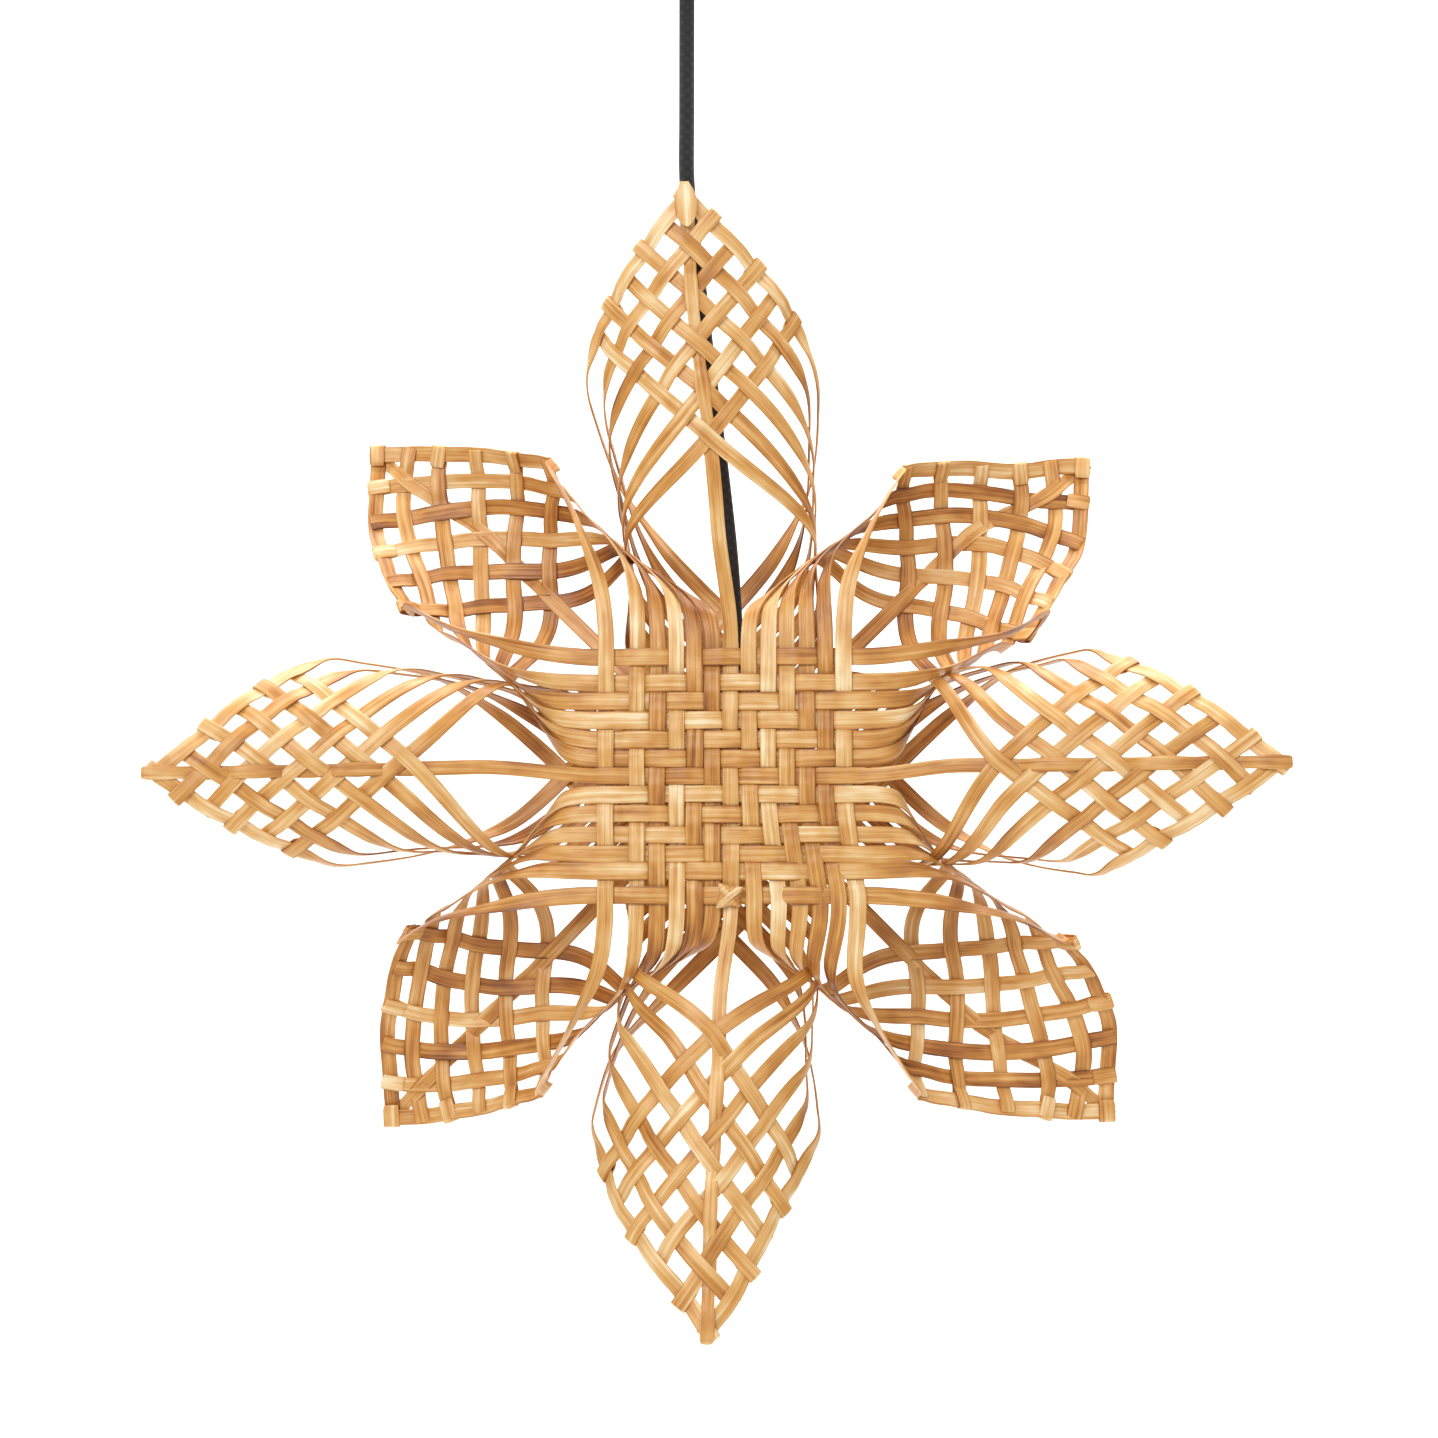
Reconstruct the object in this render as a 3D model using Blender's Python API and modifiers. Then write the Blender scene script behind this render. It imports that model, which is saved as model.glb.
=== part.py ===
"""Woven cane star pendant on a textile lamp cord, in metres, +Z up, front towards -Y.

Two woven pieces stand back to back. Each is a square mat of 13 by 13 flat strips, whose free ends
wrap round in four petals and cross again in an open grid on the other side. The back piece is turned
by 45 degrees, so its petals point up, down, left and right and their grids are in front.
The origin is the middle of the ceiling fitting's flat top.
"""

import functools
import math

import bmesh
import bpy
from mathutils import Vector

# Clearance between pieces that touch
CLEARANCE = 0.0003

# Cane strips
STRIP_WIDTH = 0.0067
STRIP_THICKNESS = 0.0007
STRIP_GAP = 0.00155
SIDE_STRIPS = 6
MAT_ROWS = range(-SIDE_STRIPS, SIDE_STRIPS + 1)

# Mats, measured from the star's middle plane to a mat's middle surface
MAT_HEIGHT = 0.028
MAT_PITCH = STRIP_WIDTH + STRIP_GAP
MAT_HALF = (SIDE_STRIPS + 0.5) * MAT_PITCH
MAT_LAYER = STRIP_THICKNESS + CLEARANCE + 0.00025
FRONT_MAT_SHIFT = (0.0034, -0.0031)

# Petals: places along a petal's axis, measured from the star's centre
FRONT_FIRST_CROSSING = 0.110
FRONT_TIP_CROSSING = 0.215
BACK_FIRST_CROSSING = 0.127
BACK_TIP_CROSSING = 0.2195
TIP_HEIGHT = 0.058
PETAL_ROUND = 0.050
PETAL_HALF_WIDTH = 0.044
FRONT_PULL = 0.30
FIRST_SIDE_FROM_MAT = 0.0345
SIDE_STEP = 0.0139
SIDE_OPENING = 0.3
BEND_FULLNESS = 1.0
BUNCH_LAP = 0.00078
PETAL_GAP = 0.0074
HALF_SECTOR = math.radians(22.5)
GRID_LAYER = 0.00155
SPOKE_CLEARANCE = 0.0022
END_SPARE = 0.002

# The hand-woven petals differ: how far each leans anticlockwise, in degrees, and its length against the rule
LEAN = {"north": 3.3, "south": -1.1, "west": 0.9, "east": -0.1}
LEAN.update({"northwest": 2.4, "northeast": -3.7, "southwest": 0.1, "southeast": 3.4})
REACH = {"north": 1.026, "south": 0.983, "west": 1.008, "east": 0.980}
REACH.update({"northwest": 1.011, "northeast": 0.979, "southwest": 0.985, "southeast": 1.023})

# How much nearer the star's middle a petal's first crossing is than the rule, the other crossings less so
DRAWN_IN = {"south": 0.022, "east": 0.018, "west": 0.005}
SIDE_DRAWN_IN = 0.20

LEAN_FROM = 0.060
LEAN_FULL = 0.190
SPOKE_SHIFT_LENGTH = 0.045

# Tie knot on the lowest row of the front mat
KNOT_SIZE = 0.0105
KNOT_HEIGHT = 0.0028
KNOT_TAPER = 0.7
KNOT_ROW = 5.85
KNOT_TURN = 38

# Cord, lampholder and ceiling fitting
CORD_DIAMETER = 0.0062
HOLDER_RADIUS = 0.0140
HOLDER_LENGTH = 0.036
HOLDER_BORE = 0.0080
HOLDER_BORE_DEPTH = 0.026
HOLDER_CAP_HEIGHT = 0.014
HOLDER_NECK_RADIUS = 0.0052
HOLDER_NECK_HEIGHT = 0.005
HOLDER_TOP_ABOVE_CENTRE = 0.047
HOLDER_ASIDE = 0.0048
CUP_RADIUS = 0.028
CUP_HEIGHT = 0.022
CUP_ROUND = 0.006
GRIP_RADIUS = 0.0058
GRIP_HEIGHT = 0.009

# The cord's way between the grip and the lampholder
CORD_ROUTE = [
    (0.0, 0.0, -0.060),
    (0.0, 0.0, -0.090),
    (0.0, 0.0, -0.112),
    (0.0012, 0.0013, -0.128),
    (0.0034, 0.0060, -0.147),
    (0.0062, 0.0135, -0.172),
    (0.0094, 0.0216, -0.200),
    (0.0130, 0.0303, -0.230),
    (0.0158, 0.0392, -0.257),
    (0.0173, 0.0463, -0.279),
    (0.0178, 0.0488, -0.293),
]

# Place of the star's centre below the ceiling fitting's top
STAR_CENTRE = Vector((0.0130, 0.0490, -0.350))

CANE = (0.56, 0.31, 0.11)
KNOT_CANE = (0.66, 0.42, 0.18)
BLACK = (0.018, 0.018, 0.019)

# Petal directions, in degrees anticlockwise from the right as seen from the front
COMPASS = {
    "east": 0,
    "northeast": 45,
    "north": 90,
    "northwest": 135,
    "west": 180,
    "southwest": 225,
    "south": 270,
    "southeast": 315,
}


class Piece:
    """One woven piece: its turn, the side it faces, and its own petal lengths."""

    def __init__(self, name, turn, facing, first, tip, other_tip, mat_shift, pull):
        self.name = name
        self.turn = turn
        self.facing = facing
        self.first = first
        self.tip = tip
        self.other_tip = other_tip
        self.mat_shift = mat_shift
        self.pull = pull

    def ridge(self, a):
        """Height of a petal's woven face at distance a along its axis: the line of the spoke that it rests on."""
        return -MAT_HEIGHT - (TIP_HEIGHT - MAT_HEIGHT) * (a - MAT_HALF) / (self.tip - MAT_HALF)


FRONT = Piece(
    "front", 0, 1, FRONT_FIRST_CROSSING, FRONT_TIP_CROSSING, BACK_TIP_CROSSING, FRONT_MAT_SHIFT, FRONT_PULL,
)
BACK = Piece("back", 45, -1, BACK_FIRST_CROSSING, BACK_TIP_CROSSING, FRONT_TIP_CROSSING, (0, 0), 0)


def new_material(name, colour, roughness):
    material = bpy.data.materials.new(name)
    material.use_nodes = True
    shader = material.node_tree.nodes["Principled BSDF"]
    shader.inputs["Base Color"].default_value = (*colour, 1)
    shader.inputs["Roughness"].default_value = roughness
    return material


def smooth_step(x):
    x = min(max(x, 0), 1)
    return x * x * (3 - 2 * x)


def hermite(start, start_slope, end, end_slope, x):
    """Cubic curve from start to end with the given slopes, for x from 0 to 1."""
    return (
        start * (1 + 2 * x) * (1 - x) ** 2
        + start_slope * x * (1 - x) ** 2
        + end * x * x * (3 - 2 * x)
        - end_slope * x * x * (1 - x)
    )


def over(k_u, k_v):
    """True where the level strip passes over the upright one, in the mat's two-over, two-under twill."""
    return (k_u + k_v) % 4 in (1, 2)


# A petal has its own axes: a along it, b across it towards the strip's own side, n out of its mat.
# A half strip's station x is below 0 in the mat, 0..1 to the petal's side, 1..2 on to the first
# crossing of the open grid, 2..7 over its six crossings, and a little more past the last.


def grid_point(piece, k, x):
    """Point of the open grid, which lies on a rounded face, and the angle of its outward normal."""
    pitch = (piece.tip - piece.first) / (SIDE_STRIPS - 1)
    own = piece.first + (k - 1) * pitch
    met = piece.first + (x - 2) * pitch
    a = (own + met) / 2
    turn = (own - met) / 2 / PETAL_ROUND
    aside = PETAL_ROUND * abs(math.sin(turn))
    return (
        Vector((
            a - piece.pull * aside * smooth_step(aside / 0.012),
            PETAL_ROUND * math.sin(turn),
            piece.ridge(a) + PETAL_ROUND * (1 - math.cos(turn)),
        )),
        math.pi - turn,
    )


def side_point(piece, k):
    """Where strip k passes the petal's side, halfway between its mat and its grid."""
    a = MAT_HALF + FIRST_SIDE_FROM_MAT + (k - 1) * SIDE_STEP
    b = min(PETAL_HALF_WIDTH, a * math.tan(HALF_SECTOR) - PETAL_GAP)
    return Vector((a, b, (MAT_HEIGHT + piece.ridge(a)) / 2))


def bend(start, start_slope, end, end_slope):
    """A bend across the petal, as points (b, n) with the share of its length at which each lies."""
    reach = (end - start).length * BEND_FULLNESS
    spots = [hermite(start, start_slope * reach, end, end_slope * reach, step / 32) for step in range(33)]
    lengths = [0.0]
    for here, there in zip(spots, spots[1:]):
        lengths.append(lengths[-1] + (there - here).length)
    return spots, [length / lengths[-1] for length in lengths], lengths[-1]


def on_bend(spots, shares, share):
    """Point at a share of a bend's length."""
    step = max(i for i in range(len(shares) - 1) if shares[i] <= share)
    return spots[step].lerp(spots[step + 1], (share - shares[step]) / (shares[step + 1] - shares[step]))


@functools.lru_cache(maxsize=None)
def wrap(piece, k):
    """Strip k's two bends round its petal: from the mat's edge to the side, and on to the grid."""
    mat_edge = half_strip_point(piece, k, 0)
    side = side_point(piece, k)
    grid, angle = grid_point(piece, k, 2)
    side_slope = Vector((SIDE_OPENING, -1)).normalized()
    grid_slope = Vector((math.cos(angle), -math.sin(angle)))
    first = bend(mat_edge.yz, Vector((1, 0)), side.yz, side_slope)
    second = bend(side.yz, side_slope, grid.yz, grid_slope)
    side_rise = 2 / (first[2] / (side.x - mat_edge.x) + second[2] / (grid.x - side.x))
    return (mat_edge.x, 1.0, side.x, side_rise, first), (side.x, side_rise, grid.x, 1.0, second)


def half_strip_point(piece, k, x):
    """Middle of strip k at station x in its petal's axes."""
    if x <= 0:
        along = MAT_HALF + x * MAT_PITCH
        across = k * MAT_PITCH
        return Vector((along + across, along - across, MAT_HEIGHT * math.sqrt(2))) / math.sqrt(2)
    if x >= 2:
        return grid_point(piece, k, x)[0]
    start, start_rise, end, end_rise, (spots, shares, length) = wrap(piece, k)[int(x)]
    spot = on_bend(spots, shares, x - int(x))
    a = hermite(start, start_rise * length, end, end_rise * length, x - int(x))
    return Vector((a, spot.x, spot.y))


def outward(piece, k, x):
    """Outward normal of the petal's surface at a strip, which the strips beside it share."""
    if x <= 0:
        return Vector((0, 0, 1))
    if x >= 2:
        angle = grid_point(piece, k, x)[1]
        return Vector((0, math.sin(angle), math.cos(angle)))
    along = half_strip_point(piece, k, x + 0.02) - half_strip_point(piece, k, x - 0.02)
    aside = half_strip_point(piece, k + 0.2, x) - half_strip_point(piece, k - 0.2, x)
    return aside.cross(along).normalized()


def compass_of(degrees):
    return next(name for name, angle in COMPASS.items() if (angle - degrees) % 360 == 0)


def in_plane(degrees):
    """Direction in the star's plane, right then up as seen from the front."""
    return Vector((math.cos(math.radians(degrees)), 0, math.sin(math.radians(degrees))))


def settled(piece, point, petal, past_mat):
    """The point moved as its petal leans, and as its mat sits off centre, which is over where past_mat is 1."""
    radius = math.hypot(point.x, point.z)
    out = smooth_step((radius - LEAN_FROM) / (LEAN_FULL - LEAN_FROM))
    shifted = 1 - smooth_step(past_mat)
    angle = math.radians(LEAN[petal]) * out
    reach = 1 + (REACH[petal] - 1) * out
    shift_x, shift_z = piece.mat_shift
    return Vector((
        (point.x * math.cos(angle) - point.z * math.sin(angle)) * reach + shift_x * shifted,
        point.y,
        (point.x * math.sin(angle) + point.z * math.cos(angle)) * reach + shift_z * shifted,
    ))


def strip_direction(piece, family):
    """Angle along which a family's strips run, and the angle towards which they are counted."""
    return (90 + piece.turn, piece.turn) if family == "first" else (piece.turn, 90 + piece.turn)


def drawn_in(piece, petal, k, x, a):
    """How much nearer the star's middle a point of strip k lies than the rule."""
    at_side = SIDE_DRAWN_IN * (k - 1) / (SIDE_STRIPS - 1)
    in_grid = min(1, (piece.tip - a) / (piece.tip - piece.first))
    share = at_side * smooth_step(x) + (in_grid - at_side) * smooth_step(x - 1)
    return DRAWN_IN.get(petal, 0) * share


def star_point(piece, family, index, forward, x, layer):
    """Point and outward normal of a strip at station x of its half, in the star's own axes."""
    along, counted = strip_direction(piece, family)
    along += 0 if forward else 180
    counted += 0 if index > 0 else 180
    middle = along + ((counted - along + 180) % 360 - 180) / 2
    petal = compass_of(middle % 360)
    axis_a = in_plane(middle)
    axis_b = (in_plane(along) - in_plane(counted)).normalized()
    axis_n = Vector((0, -piece.facing, 0))
    up = outward(piece, abs(index), x)
    local = half_strip_point(piece, abs(index), x) + up * layer
    inward = drawn_in(piece, petal, abs(index), x, local.x)
    slope = (TIP_HEIGHT - MAT_HEIGHT) / (piece.tip - MAT_HALF)
    local += Vector((-inward, 0, inward * slope * smooth_step(x / 2)))
    point = axis_a * local.x + axis_b * local.y + axis_n * local.z
    return settled(piece, point, petal, x), axis_a * up.x + axis_b * up.y + axis_n * up.z


def mat_stations(family, index):
    """Stations across the whole mat: (place in pitches, height above its middle surface).

    The second family lies flat and the first weaves over and under it, with two stations for each change.
    """
    edge = SIDE_STRIPS + 0.5
    if family == "second":
        return [(-edge, 0.0), (edge, 0.0)]
    ramp = 0.42 * STRIP_GAP / MAT_PITCH
    heights = {place: -MAT_LAYER if over(index, place) else MAT_LAYER for place in MAT_ROWS}
    found = [(-edge, heights[-SIDE_STRIPS])]
    for here, there in zip(MAT_ROWS, MAT_ROWS[1:]):
        if heights[here] != heights[there]:
            found.append((here + 0.5 - ramp, heights[here]))
            found.append((here + 0.5 + ramp, heights[there]))
    return found + [(edge, heights[SIDE_STRIPS])]


def petal_layer(family, index, x):
    """Height of a strip above its petal's woven face: neighbours lap where they bunch, families cross in the grid."""
    lap = BUNCH_LAP * ((SIDE_STRIPS + 1) / 2 - abs(index))
    crossing = GRID_LAYER if family == "first" else -GRID_LAYER
    gridded = smooth_step((x - 0.95) / 0.65)
    return lap * (1 - gridded) + crossing * gridded


def bent_strip(piece, family, index, petal_stations):
    """Points and normals of a whole bent strip, from one petal through the mat to the next."""
    edge = SIDE_STRIPS + 0.5
    last = SIDE_STRIPS + 1 + (STRIP_WIDTH / 2 + END_SPARE) * math.sqrt(2) * (SIDE_STRIPS - 1) / (
        piece.tip - piece.first
    )
    rows = []
    for x in reversed(petal_stations + [last]):
        rows.append(star_point(piece, family, index, False, x, petal_layer(family, index, x)))
    for place, height in mat_stations(family, index):
        rows.append(star_point(piece, family, index, place > 0, abs(place) - edge, height))
    for x in petal_stations + [last]:
        rows.append(star_point(piece, family, index, True, x, petal_layer(family, index, x)))
    return rows


def spoke(piece, family):
    """Points and normals of the straight middle strip, which runs on behind the other piece's grids."""
    below = GRID_LAYER + STRIP_THICKNESS + SPOKE_CLEARANCE
    end = piece.other_tip + STRIP_WIDTH / 2 + END_SPARE
    along, _ = strip_direction(piece, family)
    normal = Vector((0, -piece.facing, 0))

    def place(distance, height):
        petal = compass_of((along if distance > 0 else along + 180) % 360)
        past_mat = (abs(distance) - MAT_HALF) / SPOKE_SHIFT_LENGTH
        return settled(piece, in_plane(along) * distance + normal * height, petal, past_mat), normal

    def outer(sign):
        rows = [place(sign * MAT_HALF * 1.15, MAT_HEIGHT - below * 0.5)]
        for share in (0.25, 0.5, 0.75, 1.0):
            distance = MAT_HALF + (end - MAT_HALF) * share
            rise = (TIP_HEIGHT - MAT_HEIGHT) * (distance - MAT_HALF) / (piece.other_tip - MAT_HALF)
            rows.append(place(sign * distance, MAT_HEIGHT + rise - below))
        return rows

    mat = [place(x * MAT_PITCH, MAT_HEIGHT + height) for x, height in mat_stations(family, 0)]
    return outer(-1)[::-1] + mat + outer(1)


def add_ribbon(name, rows, material):
    """A flat strip of cane: a two-sided band along the rows, given its thickness."""
    mesh = bpy.data.meshes.new(name)
    grid = bmesh.new()
    bmesh.ops.create_grid(grid, x_segments=len(rows) - 1, y_segments=1, size=1)
    for vertex in grid.verts:
        row = round((vertex.co.x + 1) / 2 * (len(rows) - 1))
        point, normal = rows[row]
        ahead = rows[min(row + 1, len(rows) - 1)][0] - rows[max(row - 1, 0)][0]
        across = ahead.cross(normal).normalized()
        vertex.co = point + across * math.copysign(STRIP_WIDTH / 2, vertex.co.y)
    grid.to_mesh(mesh)
    grid.free()
    strip = bpy.data.objects.new(name, mesh)
    strip.location = STAR_CENTRE
    mesh.materials.append(material)
    star.objects.link(strip)
    wall = strip.modifiers.new("Thickness", "SOLIDIFY")
    wall.thickness = STRIP_THICKNESS
    wall.offset = 0
    return strip


def add_turned(name, outline, steps, material, location):
    """A turned piece: (radius, height) points from top to bottom, swept round the vertical axis."""
    mesh = bpy.data.meshes.new(name)
    mesh.from_pydata([(r, 0, z) for r, z in outline], [(i, i + 1) for i in range(len(outline) - 1)], [])
    piece = bpy.data.objects.new(name, mesh)
    piece.location = location
    mesh.materials.append(material)
    star.objects.link(piece)
    turn = piece.modifiers.new("Turn", "SCREW")
    turn.steps = steps
    turn.render_steps = steps
    turn.use_merge_vertices = True
    turn.merge_threshold = 0.00002
    turn.use_smooth_shade = True
    return piece


def add_cord(name, points, material):
    """The cord: a round tube on a smooth curve through the chosen points."""
    curve = bpy.data.curves.new(name, "CURVE")
    curve.dimensions = "3D"
    curve.bevel_depth = CORD_DIAMETER / 2
    curve.bevel_resolution = 2
    curve.use_fill_caps = True
    smooth = curve_through(points, 2)
    line = curve.splines.new("POLY")
    line.points.add(len(smooth) - 1)
    for spot, point in zip(line.points, smooth):
        spot.co = (*point, 1)
    cord = bpy.data.objects.new(name, curve)
    curve.materials.append(material)
    star.objects.link(cord)
    return cord


def curve_through(points, steps):
    """Smooth curve through the points, with the given number of steps between each two."""
    ends = [points[0] * 2 - points[1]] + points + [points[-1] * 2 - points[-2]]
    found = []
    for before, here, there, beyond in zip(ends, ends[1:], ends[2:], ends[3:]):
        for step in range(steps):
            found.append(hermite(here, (there - before) / 2, there, (beyond - here) / 2, step / steps))
    return found + [points[-1]]


for old in list(bpy.data.objects):
    bpy.data.objects.remove(old)
star = bpy.data.collections.new("Woven cane star")
bpy.context.scene.collection.children.link(star)

cane = new_material("cane", CANE, 0.45)
knot_cane = new_material("knot cane", KNOT_CANE, 0.45)
black_textile = new_material("black textile", BLACK, 0.9)
black_plastic = new_material("black plastic", BLACK, 0.35)

# The 52 strips
FAMILY_NAMES = {
    ("front", "first"): "front_upright",
    ("front", "second"): "front_level",
    ("back", "first"): "back_falling",
    ("back", "second"): "back_rising",
}
PETAL_STATIONS = [0.55, 1.05, 1.55, 2.1, 3.7, 5.4]
for woven in (FRONT, BACK):
    for family in ("first", "second"):
        label = FAMILY_NAMES[woven.name, family]
        for index in range(-SIDE_STRIPS, SIDE_STRIPS + 1):
            if index == 0:
                add_ribbon(label + "_spoke", spoke(woven, family), cane)
                continue
            number = index + SIDE_STRIPS + 1
            add_ribbon(f"{label}_strip_{number:02d}", bent_strip(woven, family, index, PETAL_STATIONS), cane)

# Tie knot, flat on the front mat's lowest row
knot_mesh = bpy.data.meshes.new("tie_knot")
pad = bmesh.new()
bmesh.ops.create_cube(pad, size=1)
for vertex in pad.verts:
    taper = KNOT_TAPER if vertex.co.y < 0 else 1
    vertex.co.x *= KNOT_SIZE * taper
    vertex.co.y *= KNOT_HEIGHT
    vertex.co.z *= KNOT_SIZE * taper
pad.to_mesh(knot_mesh)
pad.free()
knot_mesh.materials.append(knot_cane)
knot = bpy.data.objects.new("tie_knot", knot_mesh)
knot_back = MAT_HEIGHT + MAT_LAYER + STRIP_THICKNESS / 2 + CLEARANCE
knot.location = STAR_CENTRE + Vector((
    FRONT_MAT_SHIFT[0],
    -knot_back - KNOT_HEIGHT / 2,
    FRONT_MAT_SHIFT[1] - KNOT_ROW * MAT_PITCH,
))
knot.rotation_euler.y = math.radians(KNOT_TURN)
star.objects.link(knot)

# Lampholder between the mats, which the cord goes into from above
holder_top = STAR_CENTRE + Vector((HOLDER_ASIDE, 0, HOLDER_TOP_ABOVE_CENTRE))
cap_outline = [
    (0, 0),
    (HOLDER_NECK_RADIUS, 0),
    (HOLDER_NECK_RADIUS, -HOLDER_NECK_HEIGHT),
    (HOLDER_RADIUS * 0.8, -HOLDER_NECK_HEIGHT - 0.002),
    (HOLDER_RADIUS, -HOLDER_NECK_HEIGHT - 0.005),
    (HOLDER_RADIUS, -HOLDER_CAP_HEIGHT),
    (0, -HOLDER_CAP_HEIGHT),
]
add_turned("lampholder_cap", cap_outline, 20, black_plastic, holder_top)
shell_top = -HOLDER_CAP_HEIGHT - CLEARANCE
shell_outline = [
    (0, shell_top),
    (HOLDER_RADIUS, shell_top),
    (HOLDER_RADIUS, shell_top - HOLDER_LENGTH),
    (HOLDER_BORE, shell_top - HOLDER_LENGTH),
    (HOLDER_BORE, shell_top - HOLDER_LENGTH + HOLDER_BORE_DEPTH),
    (0, shell_top - HOLDER_LENGTH + HOLDER_BORE_DEPTH),
]
add_turned("lampholder_shell", shell_outline, 20, black_plastic, holder_top)

# Ceiling fitting: a cup with its flat top at the origin, and the grip that holds the cord
cup_outline = [(0, 0), (CUP_RADIUS, 0)]
for step in range(3):
    turn = math.radians(45 * step)
    cup_outline.append((
        CUP_RADIUS - CUP_ROUND * (1 - math.cos(turn)),
        -CUP_HEIGHT + CUP_ROUND * (1 - math.sin(turn)),
    ))
cup_outline.append((0, -CUP_HEIGHT))
add_turned("ceiling_cup", cup_outline, 28, black_plastic, (0, 0, 0))
grip_top = -CUP_HEIGHT - CLEARANCE
grip_outline = [
    (0, grip_top),
    (GRIP_RADIUS, grip_top),
    (GRIP_RADIUS, grip_top - GRIP_HEIGHT * 0.4),
    (GRIP_RADIUS * 0.75, grip_top - GRIP_HEIGHT),
    (0, grip_top - GRIP_HEIGHT),
]
add_turned("cord_grip", grip_outline, 20, black_plastic, (0, 0, 0))

# Cord, from the grip straight down to the upper petal's tip, behind it, and slanting back to the lampholder
cord_top = grip_top - GRIP_HEIGHT - CLEARANCE
cord_end = holder_top + Vector((0, 0, CLEARANCE))
route = [Vector((0, 0, cord_top))] + [Vector(spot) for spot in CORD_ROUTE] + [cord_end]
add_cord("cord", route, black_textile)
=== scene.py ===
"""Woven cane star pendant: the look of each piece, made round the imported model, in metres.

The star is two woven pieces that stand back to back. Each is a mat of 13 by 13 cane strips, whose free
ends wrap round in four petals and cross again in an open grid on the star's other side.
"""

import bisect
import functools
import math
import random

import bpy
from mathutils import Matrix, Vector


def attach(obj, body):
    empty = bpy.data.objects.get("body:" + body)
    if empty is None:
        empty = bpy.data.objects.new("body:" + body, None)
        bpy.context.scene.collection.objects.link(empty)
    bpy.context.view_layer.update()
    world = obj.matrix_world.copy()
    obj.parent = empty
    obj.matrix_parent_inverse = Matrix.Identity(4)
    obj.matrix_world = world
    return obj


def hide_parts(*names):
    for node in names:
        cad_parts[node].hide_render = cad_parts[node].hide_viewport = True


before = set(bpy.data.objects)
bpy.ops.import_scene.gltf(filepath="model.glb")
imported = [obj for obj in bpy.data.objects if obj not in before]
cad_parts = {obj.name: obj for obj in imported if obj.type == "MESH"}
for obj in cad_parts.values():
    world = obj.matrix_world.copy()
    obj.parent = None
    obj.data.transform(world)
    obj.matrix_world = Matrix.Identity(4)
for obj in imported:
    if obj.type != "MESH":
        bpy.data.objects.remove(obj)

bpy.ops.object.select_all(action="DESELECT")
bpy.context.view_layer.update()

# Camera at the photograph's angle: a little below the star's middle and to its right, at the length of
# a normal lens. The star hangs with its centre here, below the ceiling fitting's top.
STAR_CENTRE = Vector((0.0130, 0.0490, -0.350))
CAMERA_PLACE = Vector((0.034, -0.831, -0.045))
CAMERA_AIM = Vector((-0.0021, 0, 0.0216))
bpy.ops.object.camera_add(location=STAR_CENTRE + CAMERA_PLACE)
camera = bpy.context.object
camera.rotation_euler = (CAMERA_AIM - CAMERA_PLACE).to_track_quat("-Z", "Y").to_euler()
camera.data.lens = 50
camera.data.sensor_width = 36
camera.data.clip_start = 0.01
bpy.context.scene.camera = camera

# Lamp cord: a round cable in a black woven textile sleeve, 6.2 mm thick. It hangs straight down behind
# the upper petal's tip and slants back through the petal to the lampholder.
CORD_DIAMETER = 0.0062
CORD_ROUTE = [
    (0.0, 0.0, -0.0316),
    (0.0, 0.0, -0.060),
    (0.0, 0.0, -0.090),
    (0.0, 0.0, -0.112),
    (0.0012, 0.0013, -0.128),
    (0.0034, 0.0060, -0.147),
    (0.0062, 0.0135, -0.172),
    (0.0094, 0.0216, -0.200),
    (0.0130, 0.0303, -0.230),
    (0.0158, 0.0392, -0.257),
    (0.0173, 0.0463, -0.279),
    (0.0178, 0.0488, -0.293),
    (0.0178, 0.0490, -0.3027),
]
CORD_SIDES = 24
BRAID_PITCH = 0.0030


def linear(code):
    """An sRGB hex colour, as the linear red, green, blue and alpha that a shader takes."""
    parts = [int(code[i:i + 2], 16) / 255 for i in (1, 3, 5)]
    return [c / 12.92 if c <= 0.04045 else ((c + 0.055) / 1.055) ** 2.4 for c in parts] + [1.0]


def new_material(name):
    """An empty material with its shader and output, and the node tree to add to."""
    material = bpy.data.materials.new(name)
    material.use_nodes = True
    return material, material.node_tree, material.node_tree.nodes["Principled BSDF"]


def add_node(tree, kind, links=(), outputs=(), **settings):
    """A node with its settings. links are (input, value or socket), outputs are (output, socket)."""
    node = tree.nodes.new(kind)
    for name, value in settings.items():
        setattr(node, name, value)
    for place, value in links:
        if isinstance(value, bpy.types.NodeSocket):
            tree.links.new(value, node.inputs[place])
        else:
            node.inputs[place].default_value = value
    for place, socket in outputs:
        tree.links.new(node.outputs[place], socket)
    return node


def smooth_step(x):
    x = min(max(x, 0), 1)
    return x * x * (3 - 2 * x)


def hermite(start, start_slope, end, end_slope, x):
    """Cubic curve from start to end with the given slopes, for x from 0 to 1."""
    return (
        start * (1 + 2 * x) * (1 - x) ** 2
        + start_slope * x * (1 - x) ** 2
        + end * x * x * (3 - 2 * x)
        - end_slope * x * x * (1 - x)
    )


def curve_through(points, steps):
    """Smooth curve through the points, with the given number of steps between each two."""
    ends = [points[0] * 2 - points[1]] + points + [points[-1] * 2 - points[-2]]
    found = []
    for before, here, there, beyond in zip(ends, ends[1:], ends[2:], ends[3:]):
        for step in range(steps):
            found.append(hermite(here, (there - before) / 2, there, (beyond - here) / 2, step / steps))
    return found + [points[-1]]


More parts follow.
